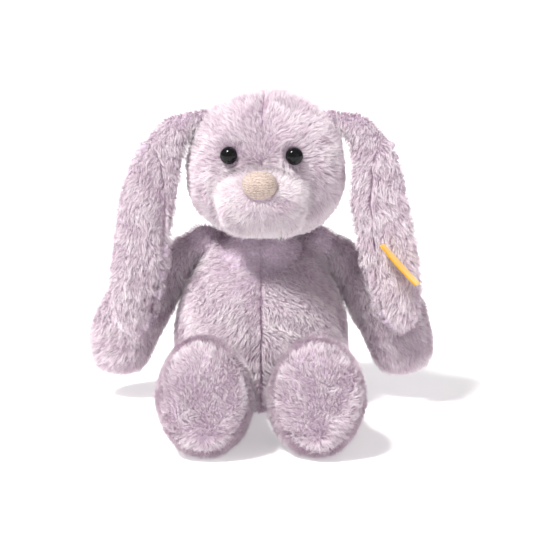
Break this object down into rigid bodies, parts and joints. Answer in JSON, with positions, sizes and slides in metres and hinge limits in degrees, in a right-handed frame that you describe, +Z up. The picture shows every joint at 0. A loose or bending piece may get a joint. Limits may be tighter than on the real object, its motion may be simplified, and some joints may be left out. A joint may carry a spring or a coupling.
{
  "type": "plush rabbit",
  "caption": "Sitting plush rabbit with long hanging ears, stuffed limbs, knitted nose and domed eyes, with a lifting head, ears, arms and legs.",
  "frame": {"origin": "on the flat seat, under the middle of the torso", "axes": "+Z up, the rabbit faces -Y, its own left side is at +X"},
  "size_m": [0.2216, 0.194, 0.202],
  "materials": {
    "plush": "long soft pile, pale greyish lilac",
    "plush_light": "shorter soft pile, lighter lilac",
    "nose_knit": "fine ribbed knit, warm beige",
    "eye_plastic": "polished black",
    "washer_plastic": "moulded white",
    "fibrefill": "loose polyester fibre",
    "pouch_cotton": "plain woven cotton",
    "tag_ribbon": "woven ribbon, apricot, blank",
    "label_ribbon": "satin ribbon, white, blank"
  },
  "bodies": {
    "torso": {"seat_panel": "plush", "torso_front_left": "plush", "torso_front_right": "plush", "torso_back_left": "plush", "torso_back_right": "plush", "torso_stuffing": "fibrefill", "pellet_pouch": "pouch_cotton", "tail_cover": "plush", "tail_stuffing": "fibrefill", "care_label": "label_ribbon"},
    "head": {"face_left": "plush", "face_right": "plush", "head_back_left": "plush", "head_back_right": "plush", "muzzle_left": "plush_light", "muzzle_right": "plush_light", "chin_panel": "plush_light", "nose_pad": "nose_knit", "head_stuffing": "fibrefill", "eye_left": "eye_plastic", "eye_washer_left": "washer_plastic", "eye_right": "eye_plastic", "eye_washer_right": "washer_plastic"},
    "ear_left": {"ear_left_outer": "plush", "ear_left_inner": "plush", "ear_tag": "tag_ribbon"},
    "ear_right": {"ear_right_outer": "plush", "ear_right_inner": "plush"},
    "arm_left": {"arm_left_front": "plush", "arm_left_back": "plush", "arm_left_stuffing": "fibrefill"},
    "arm_right": {"arm_right_front": "plush", "arm_right_back": "plush", "arm_right_stuffing": "fibrefill"},
    "leg_left": {"leg_left_upper": "plush", "leg_left_under": "plush", "foot_left_sole": "plush_light", "leg_left_stuffing": "fibrefill"},
    "leg_right": {"leg_right_upper": "plush", "leg_right_under": "plush", "foot_right_sole": "plush_light", "leg_right_stuffing": "fibrefill"}
  },
  "joints": [
    {"name": "head_nod", "type": "hinge", "parent": "torso", "child": "head", "pos_m": [0, -0.003, 0.097], "axis": [1, 0, 0], "range_deg": [-14, 8], "stiffness_Nm_per_rad": 0.25},
    {"name": "ear_left_lift", "type": "hinge", "parent": "head", "child": "ear_left", "pos_m": [0.0414, -0.006, 0.183], "axis": [0, -1, 0], "range_deg": [0, 85]},
    {"name": "ear_right_lift", "type": "hinge", "parent": "head", "child": "ear_right", "pos_m": [-0.0346, -0.006, 0.183], "axis": [0, 1, 0], "range_deg": [0, 85]},
    {"name": "arm_left_lift", "type": "hinge", "parent": "torso", "child": "arm_left", "pos_m": [0.036, 0.008, 0.104], "axis": [0, -1, 0], "range_deg": [0, 55]},
    {"name": "arm_right_lift", "type": "hinge", "parent": "torso", "child": "arm_right", "pos_m": [-0.036, 0.008, 0.104], "axis": [0, 1, 0], "range_deg": [0, 55]},
    {"name": "leg_left_swing", "type": "hinge", "parent": "torso", "child": "leg_left", "pos_m": [0.029, -0.028, 0.023], "axis": [1, 0, 0], "range_deg": [0, 85]},
    {"name": "leg_right_swing", "type": "hinge", "parent": "torso", "child": "leg_right", "pos_m": [-0.029, -0.028, 0.023], "axis": [1, 0, 0], "range_deg": [0, 85]}
  ]
}
